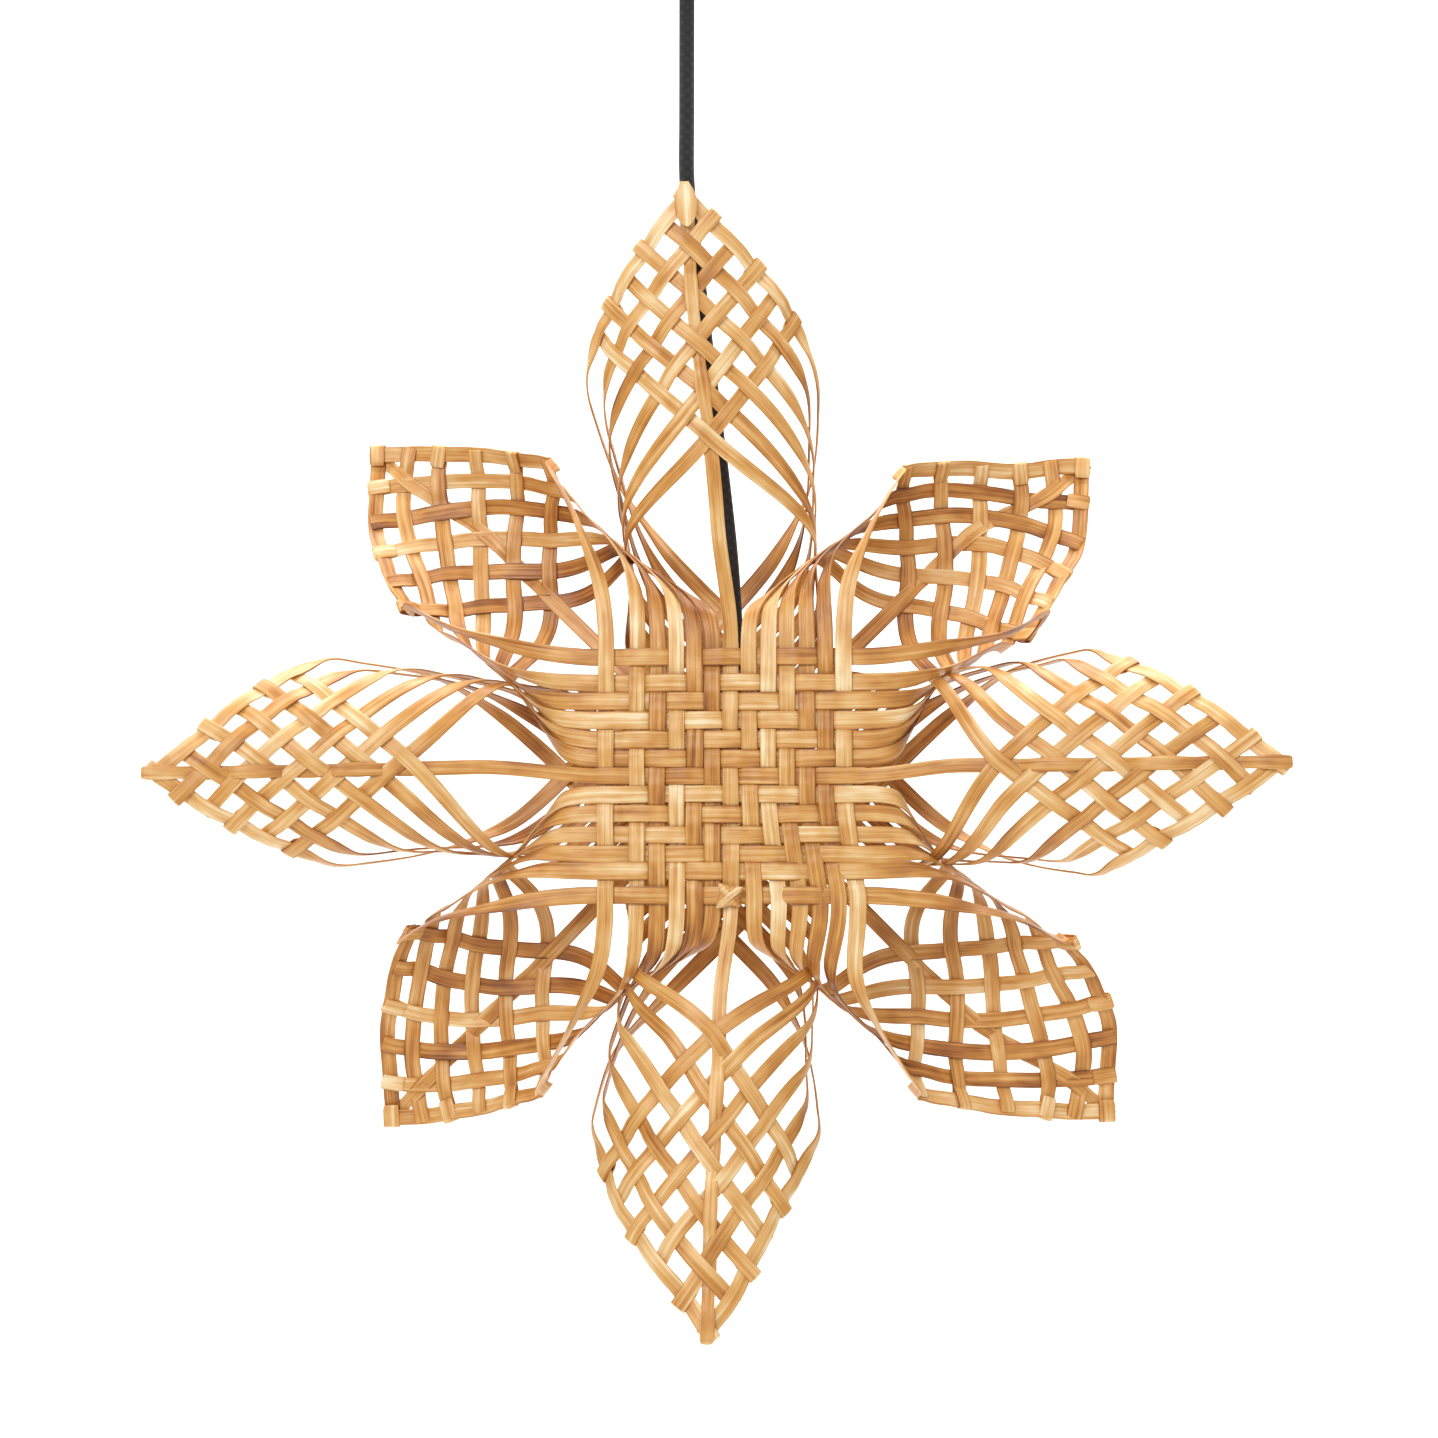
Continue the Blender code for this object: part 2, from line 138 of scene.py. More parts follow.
def grid_piece(name, columns, rows):
    """A flat grid of columns by rows of points, with its UV map, as the start of a band or a tube."""
    bpy.ops.mesh.primitive_grid_add(x_subdivisions=columns - 1, y_subdivisions=rows - 1, size=2)
    piece = bpy.context.object
    piece.name = name
    piece.data.name = name
    return piece


def shape_grid(piece, columns, rows, place, pattern):
    """Moves each point of a grid by place(column, row), and sets its UV by pattern(column, row)."""
    mesh = piece.data
    spots = []
    for vertex in mesh.vertices:
        spots.append((
            round((vertex.co.x + 1) / 2 * (columns - 1)),
            round((vertex.co.y + 1) / 2 * (rows - 1)),
        ))
    for vertex, spot in zip(mesh.vertices, spots):
        vertex.co = place(*spot)
    layer = mesh.uv_layers[0]
    for loop, uv in zip(mesh.loops, layer.data):
        uv.uv = pattern(*spots[loop.vertex_index])


def apply_modifiers(piece):
    bpy.context.view_layer.objects.active = piece
    for modifier in list(piece.modifiers):
        bpy.ops.object.modifier_apply(modifier=modifier.name)


def smooth_faces(piece, angle=40):
    """Shades the piece smooth, apart from edges sharper than the angle, and leaves nothing selected."""
    bpy.ops.object.select_all(action="DESELECT")
    piece.select_set(True)
    bpy.context.view_layer.objects.active = piece
    bpy.ops.object.shade_smooth_by_angle(angle=math.radians(angle))
    bpy.ops.object.select_all(action="DESELECT")


def edit_all(piece, *steps):
    """Runs steps in edit mode with the whole piece selected."""
    bpy.ops.object.select_all(action="DESELECT")
    piece.select_set(True)
    bpy.context.view_layer.objects.active = piece
    bpy.ops.object.mode_set(mode="EDIT")
    bpy.ops.mesh.select_all(action="SELECT")
    for step in steps:
        step()
    bpy.ops.object.mode_set(mode="OBJECT")


def close_tube(piece):
    """Joins a rolled grid along its seam, closes its two ends, and turns its faces outwards."""
    edit_all(
        piece,
        lambda: bpy.ops.mesh.remove_doubles(threshold=0.00001),
        lambda: bpy.ops.mesh.select_all(action="DESELECT"),
        lambda: bpy.ops.mesh.select_non_manifold(extend=False),
        lambda: bpy.ops.mesh.edge_face_add(),
        lambda: bpy.ops.mesh.select_all(action="SELECT"),
        lambda: bpy.ops.mesh.normals_make_consistent(inside=False),
    )


# Black rayon sleeve braided round a cable: fine slanting threads, matt, with a faint sheen.
braid, tree, shader = new_material("Black braided textile")
uv = add_node(tree, "ShaderNodeUVMap", uv_map="UVMap")
slants = []
for turn in (45, -45):
    turned = add_node(
        tree, "ShaderNodeMapping", [("Vector", uv.outputs["UV"]), ("Rotation", (0, 0, math.radians(turn)))]
    )
    slants.append(add_node(
        tree, "ShaderNodeTexWave", [("Vector", turned.outputs["Vector"]), ("Scale", 0.31 / BRAID_PITCH)],
        wave_type="BANDS", bands_direction="X", wave_profile="SIN",
    ))
threads = add_node(
    tree, "ShaderNodeMath", [(0, slants[0].outputs["Fac"]), (1, slants[1].outputs["Fac"])],
    operation="MULTIPLY",
)
add_node(
    tree, "ShaderNodeMix",
    [("Factor", threads.outputs[0]), (6, linear("#181818")), (7, linear("#2a2a2a"))],
    [(2, shader.inputs["Base Color"])], data_type="RGBA",
)
add_node(
    tree, "ShaderNodeBump", [("Height", threads.outputs[0]), ("Strength", 0.4), ("Distance", 0.0003)],
    [("Normal", shader.inputs["Normal"])],
)
shader.inputs["Roughness"].default_value = 0.8
shader.inputs["Sheen Weight"].default_value = 0.25
shader.inputs["Sheen Roughness"].default_value = 0.4

cord_line = curve_through([Vector(spot) for spot in CORD_ROUTE], 8)
cord_distances = [0.0]
for here, there in zip(cord_line, cord_line[1:]):
    cord_distances.append(cord_distances[-1] + (there - here).length)


def cord_point(column, row):
    """Point of the cord's skin: column along it, row round it."""
    ahead = cord_line[min(column + 1, len(cord_line) - 1)] - cord_line[max(column - 1, 0)]
    side = ahead.cross(Vector((0, 1, 0))).normalized()
    front = side.cross(ahead).normalized()
    turn = 2 * math.pi * row / CORD_SIDES
    return cord_line[column] + (side * math.cos(turn) + front * math.sin(turn)) * CORD_DIAMETER / 2


cord = grid_piece("textile_cord", len(cord_line), CORD_SIDES + 1)
shape_grid(
    cord, len(cord_line), CORD_SIDES + 1, cord_point,
    lambda column, row: (row / CORD_SIDES * math.pi * CORD_DIAMETER, cord_distances[column]),
)
close_tube(cord)
smooth_faces(cord)
cord.data.materials.append(braid)
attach(cord, "root")
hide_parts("cord")

# Ceiling fitting, lampholder: black moulded phenolic, turned and ribbed. The cup holds the cord in a
# tapered grip, and the lampholder hangs on the cord between the two mats, with its mouth down.
CUP_RADIUS = 0.028
CUP_HEIGHT = 0.022
GRIP_RADIUS = 0.0058
GRIP_HEIGHT = 0.009
HOLDER_TOP = STAR_CENTRE + Vector((0.0048, 0, 0.047))
HOLDER_RADIUS = 0.0140
HOLDER_BORE = 0.0080

bakelite, tree, shader = new_material("Black moulded phenolic")
place = add_node(tree, "ShaderNodeTexCoord")
speckle = add_node(
    tree, "ShaderNodeTexNoise", [("Vector", place.outputs["Object"]), ("Scale", 900.0), ("Detail", 3.0)]
)
add_node(
    tree, "ShaderNodeMix",
    [("Factor", speckle.outputs["Fac"]), (6, linear("#141414")), (7, linear("#242424"))],
    [(2, shader.inputs["Base Color"])], data_type="RGBA",
)
add_node(
    tree, "ShaderNodeMapRange",
    [("Value", speckle.outputs["Fac"]), ("To Min", 0.30), ("To Max", 0.42)],
    [("Result", shader.inputs["Roughness"])],
)
add_node(
    tree, "ShaderNodeBump", [("Height", speckle.outputs["Fac"]), ("Strength", 0.15), ("Distance", 0.0002)],
    [("Normal", shader.inputs["Normal"])],
)


def turned_piece(name, outline, steps, location, ribs=0, rib_depth=0.0, rib_span=(0, 0)):
    """A turned piece: the outline of (radius, height) spun round the vertical axis, and ribbed."""
    bpy.ops.mesh.primitive_grid_add(x_subdivisions=steps, y_subdivisions=len(outline) - 1, size=2)
    piece = bpy.context.object
    piece.name = name
    piece.data.name = name

    def skin(column, row):
        radius, height = outline[row]
        turn = 2 * math.pi * column / steps
        if ribs and rib_span[0] <= height <= rib_span[1]:
            radius -= rib_depth * (0.5 + 0.5 * math.cos(ribs * turn))
        return location + Vector((radius * math.cos(turn), radius * math.sin(turn), height))

    shape_grid(
        piece, steps + 1, len(outline), skin,
        lambda column, row: (column / steps * 2 * math.pi * outline[row][0], outline[row][1]),
    )
    edit_all(
        piece,
        lambda: bpy.ops.mesh.remove_doubles(threshold=0.00001),
        lambda: bpy.ops.mesh.normals_make_consistent(inside=False),
    )
    smooth_faces(piece, 35)
    piece.data.materials.append(bakelite)
    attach(piece, "root")
    return piece


def rounded(radius, height, edge, steps=5):
    """Points of a rounded lower rim, from the side in to the underside."""
    found = []
    for step in range(steps + 1):
        turn = math.pi / 2 * step / steps
        found.append((radius - edge * (1 - math.cos(turn)), height + edge * (1 - math.sin(turn))))
    return found


cup = turned_piece(
    "ceiling_cup_moulding",
    [(0, 0), (CUP_RADIUS - 0.0006, 0), (CUP_RADIUS, -0.0006), (CUP_RADIUS, -0.0030),
     (CUP_RADIUS - 0.0005, -0.0034), (CUP_RADIUS - 0.0005, -0.0042), (CUP_RADIUS, -0.0046),
     (CUP_RADIUS, -CUP_HEIGHT + 0.010)]
    + rounded(CUP_RADIUS, -CUP_HEIGHT, 0.006, 8)
    + [(0.0100, -CUP_HEIGHT), (0.0096, -CUP_HEIGHT + 0.0006), (0.0068, -CUP_HEIGHT + 0.0006),
       (0.0064, -CUP_HEIGHT), (0, -CUP_HEIGHT)],
    72, Vector((0, 0, 0)),
)
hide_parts("ceiling_cup")
grip_top = -CUP_HEIGHT - 0.0003
grip = turned_piece(
    "cord_grip_moulding",
    [(0, grip_top), (GRIP_RADIUS - 0.0003, grip_top), (GRIP_RADIUS, grip_top - 0.0003),
     (GRIP_RADIUS, grip_top - 0.0036), (GRIP_RADIUS - 0.0004, grip_top - 0.0040),
     (GRIP_RADIUS * 0.75, grip_top - GRIP_HEIGHT + 0.0005), (GRIP_RADIUS * 0.72, grip_top - GRIP_HEIGHT),
     (0, grip_top - GRIP_HEIGHT)],
    72, Vector((0, 0, 0)), ribs=18, rib_depth=0.0003, rib_span=(grip_top - 0.0037, grip_top - 0.0002),
)
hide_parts("cord_grip")
cap = turned_piece(
    "lampholder_cap_moulding",
    [(0, 0), (0.0049, 0), (0.0052, -0.0003), (0.0052, -0.0050), (0.0112, -0.0070), (0.0136, -0.0092),
     (HOLDER_RADIUS, -0.0105), (HOLDER_RADIUS, -0.0136), (HOLDER_RADIUS - 0.0004, -0.0140), (0, -0.0140)],
    64, HOLDER_TOP, ribs=24, rib_depth=0.0004, rib_span=(-0.0137, -0.0104),
)
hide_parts("lampholder_cap")
shell_top = -0.0143
shell_foot = shell_top - 0.036
shell = turned_piece(
    "lampholder_shell_moulding",
    [(0, shell_top), (HOLDER_RADIUS - 0.0003, shell_top), (HOLDER_RADIUS, shell_top - 0.0003),
     (HOLDER_RADIUS, shell_top - 0.0120), (HOLDER_RADIUS - 0.0006, shell_top - 0.0126),
     (HOLDER_RADIUS - 0.0006, shell_top - 0.0140), (HOLDER_RADIUS, shell_top - 0.0146),
     (HOLDER_RADIUS, shell_foot + 0.0008), (HOLDER_RADIUS - 0.0008, shell_foot),
     (HOLDER_BORE + 0.0008, shell_foot), (HOLDER_BORE, shell_foot + 0.0008)]
    + [(HOLDER_BORE + 0.0004 * (step % 2), shell_foot + 0.0040 + 0.0016 * step) for step in range(12)]
    + [(HOLDER_BORE, shell_foot + 0.026), (0, shell_foot + 0.026)],
    64, HOLDER_TOP,
)
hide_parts("lampholder_shell")

# The strips' ways. A strip of cane is about 7 mm wide and 0.7 mm thick, split and shaved flat, and woven
# damp. Each half of a strip is followed by a station x: below 0 in the mat, 0 to 1 to its petal's side,
# 1 to 2 on to the first crossing of the open grid, 2 to 7 over its six crossings.
STRIP_THICKNESS = 0.0007
MAT_WIDTH = {"first": 0.0066, "second": 0.0071}
PETAL_WIDTH = {"front": 0.0069, "back": 0.0061}
SIDE_STRIPS = 6
MAT_ROWS = range(-SIDE_STRIPS, SIDE_STRIPS + 1)
MAT_HEIGHT = 0.028
MAT_PITCH = 0.0078
MAT_EDGE = 0.0532
FRONT_MAT_SHIFT = (0.0038, -0.0036)
FRONT_ROWS = {
    "first": [
        -0.0505, -0.0379, -0.0297, -0.0218, -0.0146, -0.0074, 0.0,
        0.0075, 0.0152, 0.0227, 0.0308, 0.0382, 0.0457,
    ],
    "second": [
        -0.0480, -0.0382, -0.0314, -0.0237, -0.0153, -0.0074, 0.0,
        0.0070, 0.0147, 0.0225, 0.0302, 0.0378, 0.0482,
    ],
}
BACK_ROWS = [
    -0.0490, -0.0386, -0.0312, -0.0231, -0.0156, -0.0077, 0.0,
    0.0079, 0.0154, 0.0233, 0.0309, 0.0388, 0.0488,
]
TIP_HEIGHT = 0.058
PETAL_ROUND = 0.050
FRONT_SIDES = [
    (0.090, 0.0350), (0.093, 0.0362), (0.097, 0.0370), (0.103, 0.0375), (0.116, 0.0390), (0.142, 0.0440),
]
BACK_SIDES = [
    (0.090, 0.0375), (0.095, 0.0385), (0.106, 0.0400), (0.122, 0.0415), (0.136, 0.0420), (0.147, 0.0480),
]
FRONT_PULL = 7.8
SIDE_OPENING = 0.15
MAT_FULLNESS = 1.6
GRID_FULLNESS = 1.0
SIDE_NARROWING = 0.12
EDGE_ON = 0.8
BUNCH_LAP = 0.00078
MAT_RELIEF = 0.00070
MAT_SWELL = 0.00038
GRID_RELIEF = 0.00058
SPOKE_RELIEF = 0.0013
END_SPARE = 0.0021
UNDER_SPARE = -0.0004
LEAN = {"north": 3.3, "south": -1.1, "west": 0.9, "east": -0.1}
LEAN.update({"northwest": 2.4, "northeast": -3.7, "southwest": 0.1, "southeast": 3.4})
REACH = {"north": 1.026, "south": 0.983, "west": 1.008, "east": 0.980}
REACH.update({"northwest": 1.011, "northeast": 0.979, "southwest": 0.985, "southeast": 1.023})
SWAY = {"north": (0, 0), "south": (-5.0, 0), "west": (0, 5.0), "east": (0, 3.0)}
SWAY.update({"northwest": (-4.0, 0), "northeast": (4.5, -4.5)})
SWAY.update({"southwest": (-6.0, 0), "southeast": (8.0, 0)})
DRAWN_IN = {"south": 0.0235, "east": 0.0185, "west": 0.0055}
SIDE_DRAWN_IN = {"south": (0.0170, 0.0060), "east": (0.0125, 0.0), "west": (0.0055, -0.0040)}
BREADTH = {"west": 0.91}
CORNER_PULL = {"northeast": 7.0, "southwest": 3.6}
LEAN_FROM = {"front": 0.145, "back": 0.060}
LEAN_FULL = {"front": 0.200, "back": 0.190}
SPOKE_SHIFT_LENGTH = 0.045
COMPASS = {
    "east": 0, "northeast": 45, "north": 90, "northwest": 135,
    "west": 180, "southwest": 225, "south": 270, "southeast": 315,
}


class Piece:
    """One woven piece: its turn, the side it faces, and its own petal lengths."""

    def __init__(self, name, turn, facing, first, tip, other_first, other_tip, mat_shift, sides, pull):
        self.name = name
        self.turn = turn
        self.facing = facing
        self.first = first
        self.tip = tip
        self.other_first = other_first
        self.other_tip = other_tip
        self.mat_shift = mat_shift
        self.sides = sides
        self.pull = pull
        self.petal_width = PETAL_WIDTH[name]
        self.spoke_width = PETAL_WIDTH["back" if name == "front" else "front"]

    def ridge(self, a):
        """Height of a petal's woven face at distance a along its axis."""
        return -MAT_HEIGHT - (TIP_HEIGHT - MAT_HEIGHT) * (a - MAT_EDGE) / (self.tip - MAT_EDGE)


FRONT = Piece("front", 0, 1, 0.108, 0.215, 0.130, 0.2195, FRONT_MAT_SHIFT, FRONT_SIDES, FRONT_PULL)
BACK = Piece("back", 45, -1, 0.130, 0.2195, 0.108, 0.215, (0, 0), BACK_SIDES, 0)


def mat_place(woven, family, index):
    """Where a row of a mat runs: the rows lie close, and the outermost stands a little apart."""
    places = FRONT_ROWS[family] if woven is FRONT else BACK_ROWS
    return places[index + SIDE_STRIPS]


def even_place(k):
    """Where row k would run in an even mat, for any k from 0 up."""
    return k * MAT_PITCH + 0.0022 * max(0, k - 5)


def grid_point(woven, k, x):
    """Point of the open grid, which lies on a rounded face, and the angle of its outward normal."""
    pitch = (woven.tip - woven.first) / (SIDE_STRIPS - 1)
    own = woven.first + (k - 1) * pitch
    met = woven.first + (x - 2) * pitch
    a = (own + met) / 2
    turn = (own - met) / 2 / PETAL_ROUND
    height = woven.ridge(a) + PETAL_ROUND * (1 - math.cos(turn))
    b = PETAL_ROUND * math.sin(turn)
    return Vector((a - woven.pull * b * b, b, height)), math.pi - turn


def side_point(woven, k):
    """Where strip k passes the petal's side, halfway between its mat and its grid."""
    low = min(max(int(k), 1), SIDE_STRIPS - 1)
    (low_a, low_b), (high_a, high_b) = woven.sides[low - 1:low + 1]
    a = low_a + (high_a - low_a) * (k - low)
    b = low_b + (high_b - low_b) * (k - low)
    return Vector((a, b, (MAT_HEIGHT + woven.ridge(a)) / 2))


def bend(start, start_slope, end, end_slope, fullness):
    """A bend across the petal: its points, the share of its length at which each lies, and its length."""
    reach = (end - start).length * fullness
    spots = [hermite(start, start_slope * reach, end, end_slope * reach, step / 80) for step in range(81)]
    lengths = [0.0]
    for here, there in zip(spots, spots[1:]):
        lengths.append(lengths[-1] + (there - here).length)
    return spots, [length / lengths[-1] for length in lengths], lengths[-1]


def on_bend(spots, shares, share):
    """Point at a share of a bend's length."""
    step = max(i for i in range(len(shares) - 1) if shares[i] <= share)
    return spots[step].lerp(spots[step + 1], (share - shares[step]) / (shares[step + 1] - shares[step]))


@functools.lru_cache(maxsize=None)
def wrap(woven, k):
    """Strip k's two bends round its petal: from the mat's edge to the side, and on to the grid."""
    mat_edge = half_strip_point(woven, k, 0)
    side = side_point(woven, k)
    grid, angle = grid_point(woven, k, 2)
    side_slope = Vector((SIDE_OPENING, -1)).normalized()
    grid_slope = Vector((math.cos(angle), -math.sin(angle)))
    first = bend(mat_edge.yz, Vector((1, 0)), side.yz, side_slope, MAT_FULLNESS)
    second = bend(side.yz, side_slope, grid.yz, grid_slope, GRID_FULLNESS)
    side_rise = 2 / (first[2] / (side.x - mat_edge.x) + second[2] / (grid.x - side.x))
    return (mat_edge.x, 1.0, side.x, side_rise, first), (side.x, side_rise, grid.x, 1.0, second)


def half_strip_point(woven, k, x):
    """Middle of strip k at station x, along its petal's axis, across it and out of its mat."""
    if x <= 0:
        along = MAT_EDGE + x * MAT_PITCH
        across = even_place(k)
        return Vector((along + across, along - across, MAT_HEIGHT * math.sqrt(2))) / math.sqrt(2)
    if x >= 2:
        return grid_point(woven, k, x)[0]
    start, start_rise, end, end_rise, (spots, shares, length) = wrap(woven, k)[int(x)]
    spot = on_bend(spots, shares, x - int(x))
    a = hermite(start, start_rise * length, end, end_rise * length, x - int(x))
    return Vector((a, spot.x, spot.y))


def outward(woven, k, x):
    """Outward normal of the petal's surface at a strip, which the strips beside it share."""
    if x <= 0:
        return Vector((0, 0, 1))
    if x >= 2:
        angle = grid_point(woven, k, x)[1]
        return Vector((0, math.sin(angle), math.cos(angle)))
    along = half_strip_point(woven, k, x + 0.03) - half_strip_point(woven, k, x - 0.03)
    beyond = min(k + 0.2, SIDE_STRIPS)
    aside = half_strip_point(woven, beyond, x) - half_strip_point(woven, beyond - 0.4, x)
    normal = aside.cross(along).normalized()
    edge_on = EDGE_ON * smooth_step((x - 0.2) / 0.4) * (1 - smooth_step((x - 0.95 - 0.1 * k) / 0.35))
    sideways = Vector((0, 1, 0)) - along * (along.y / along.length_squared)
    return normal.lerp(sideways.normalized(), edge_on).normalized()


def compass_of(degrees):
    return next(name for name, angle in COMPASS.items() if (angle - degrees) % 360 == 0)


def in_plane(degrees):
    """Direction in the star's plane, right then up as seen from the front."""
    return Vector((math.cos(math.radians(degrees)), 0, math.sin(math.radians(degrees))))


def settled(woven, point, petal, past_mat):
    """The point moved as its petal leans, and as its mat sits off centre, up to where past_mat is 1."""
    radius = math.hypot(point.x, point.z)
    own = "back" if COMPASS[petal] % 90 == 0 else "front"
    out = smooth_step((radius - LEAN_FROM[own]) / (LEAN_FULL[own] - LEAN_FROM[own]))
    shifted = 1 - smooth_step(past_mat)
    angle = math.radians(LEAN[petal]) * out
    reach = 1 + (REACH[petal] - 1) * out
    shift_x, shift_z = woven.mat_shift
    return Vector((
        (point.x * math.cos(angle) - point.z * math.sin(angle)) * reach + shift_x * shifted,
        point.y,
        (point.x * math.sin(angle) + point.z * math.cos(angle)) * reach + shift_z * shifted,
    ))


def strip_direction(woven, family):
    """Angle along which a family's strips run, and the angle towards which they are counted."""
    return (90 + woven.turn, woven.turn) if family == "first" else (woven.turn, 90 + woven.turn)


def drawn_in(woven, petal, k, x, a):
    """How much nearer the star's middle a point of strip k lies than in an even petal."""
    at_first, at_last = SIDE_DRAWN_IN.get(petal, (0, 0))
    at_side = at_first + (at_last - at_first) * (k - 1) / (SIDE_STRIPS - 1)
    in_grid = DRAWN_IN.get(petal, 0) * min(1, (woven.tip - a) / (woven.tip - woven.first))
    return at_side * smooth_step(x) + (in_grid - at_side) * smooth_step(x - 1)


def star_point(woven, family, index, forward, x, layer):
    """Point and outward normal of a strip at station x of its half, in the star's own axes."""
    along, counted = strip_direction(woven, family)
    along += 0 if forward else 180
    counted += 0 if index > 0 else 180
    middle = along + ((counted - along + 180) % 360 - 180) / 2
    petal = compass_of(middle % 360)
    axis_a = in_plane(middle)
    axis_b = (in_plane(along) - in_plane(counted)).normalized()
    axis_n = Vector((0, -woven.facing, 0))
    up = outward(woven, abs(index), x)
    local = half_strip_point(woven, abs(index), x) + up * layer
    local.y *= 1 + (BREADTH.get(petal, 1) - 1) * smooth_step(x)
    inward = drawn_in(woven, petal, abs(index), x, local.x)
    slope = (TIP_HEIGHT - MAT_HEIGHT) / (woven.tip - MAT_EDGE)
    corner = min(0, local.y * axis_b.dot(in_plane(middle + 90)))
    corner_inward = CORNER_PULL.get(petal, 0) * corner * corner * smooth_step(x - 1)
    local += Vector((-inward - corner_inward, 0, inward * slope * smooth_step(x / 2)))
    point = axis_a * local.x + axis_b * local.y + axis_n * local.z
    aside = mat_place(woven, family, index) - math.copysign(even_place(abs(index)), index)
    side_way = in_plane(strip_direction(woven, family)[1])
    point += side_way * aside * (1 - smooth_step(x / 1.2))
    swell = math.hypot(point.x, point.z)
    swayed = smooth_step((swell - 0.085) / 0.05) * (1 - smooth_step((swell - 0.180) / 0.035))
    point += Vector((SWAY[petal][0], 0, SWAY[petal][1])) * 0.001 * swayed
    return settled(woven, point, petal, x), axis_a * up.x + axis_b * up.y + axis_n * up.z


# The weave. In the mats each strip goes over two and under two, one step aside in each next row. In the
# petals it goes over one and under one. A woven strip stays flat on a crossing and bends between them.


def level_is_over(k_u, k_v):
    """True where the level strip passes over the upright one in a mat."""
    return (k_u + k_v) % 4 in (1, 2)


def mat_side(family, index, crossed):
    """1 where a strip is on its mat's outer side at a crossing, and -1 where it is under."""
    if family == "first":
        return -1 if level_is_over(index, crossed) else 1
    return 1 if level_is_over(crossed, index) else -1


def grid_side(family, k, crossed):
    """The same in a petal's open grid, where k and crossed count from the star's middle outwards."""
    first_is_over = (k + crossed) % 2 == 1
    return 1 if first_is_over == (family == "first") else -1


def between(here, there, share, firmness, swell=0.0):
    """Height from one crossing to the next: flat on each, and swelling between two that it is over."""
    if here == there:
        return here * (1 + swell * math.sin(math.pi * share) ** 2)
    return here * math.sin(math.pi / 2 * max(-1, min(1, firmness * math.cos(math.pi * share))))


def mat_height(woven, family, index, place):
    """Height of a strip at a place along it in the mat, in metres from the mat's middle."""
    other = "second" if family == "first" else "first"
    for crossed in MAT_ROWS[:-1]:
        start = mat_place(woven, other, crossed)
        end = mat_place(woven, other, crossed + 1)
        if start <= place <= end:
            here = mat_side(family, index, crossed)
            there = mat_side(family, index, crossed + 1)
            swell = MAT_SWELL / MAT_RELIEF if here > 0 else 0
            return MAT_RELIEF * between(here, there, (place - start) / (end - start), 1.6, swell)
    return MAT_RELIEF * mat_side(family, index, int(math.copysign(SIDE_STRIPS, place)))


def petal_height(family, index, x, edge_height):
    """Height of a strip above its petal's surface at station x, from the mat's edge to its end."""
    if x < 2:
        lap = BUNCH_LAP * ((SIDE_STRIPS + 1) / 2 - abs(index))
        start = edge_height + (lap - edge_height) * smooth_step(x / 0.5)
        first = GRID_RELIEF * grid_side(family, abs(index), 1)
        return start + (first - start) * smooth_step((x - 0.95) / 0.65)
    crossed = min(int(x) - 1, SIDE_STRIPS)
    here = grid_side(family, abs(index), crossed)
    if crossed == SIDE_STRIPS:
        return GRID_RELIEF * here
    return GRID_RELIEF * between(here, grid_side(family, abs(index), crossed + 1), x - int(x), 1.35)


def end_station(woven, spare):
    """Station at which a strip is cut or folded, by its spare length past the outermost strip's edge."""
    pitch = (woven.tip - woven.first) / (SIDE_STRIPS - 1)
    return SIDE_STRIPS + 1 + (woven.petal_width / 2 + spare) * math.sqrt(2) / pitch


MAT_STEP = 0.0013
BEND_STEPS = 26
CROSSING_STEPS = 7
END_STEPS = 5
FOLD_RADIUS = 0.0011
FOLD_LENGTH = 0.0085
FLAP_LENGTH = 0.0155
FLAP_WIDTH = 0.0094
# Painted light and shade along each strip: the open grid is painted paler as if lit, and the bunch at the
# petal's side is painted darker as if in shade.
GRID_PAINTED_LIGHT = 0.05
BUNCH_PAINTED_SHADE = -0.13
MAT_WAVER = 0.00036
FREE_WAVER = 0.0006
FAN_WIDTH = 0.0050


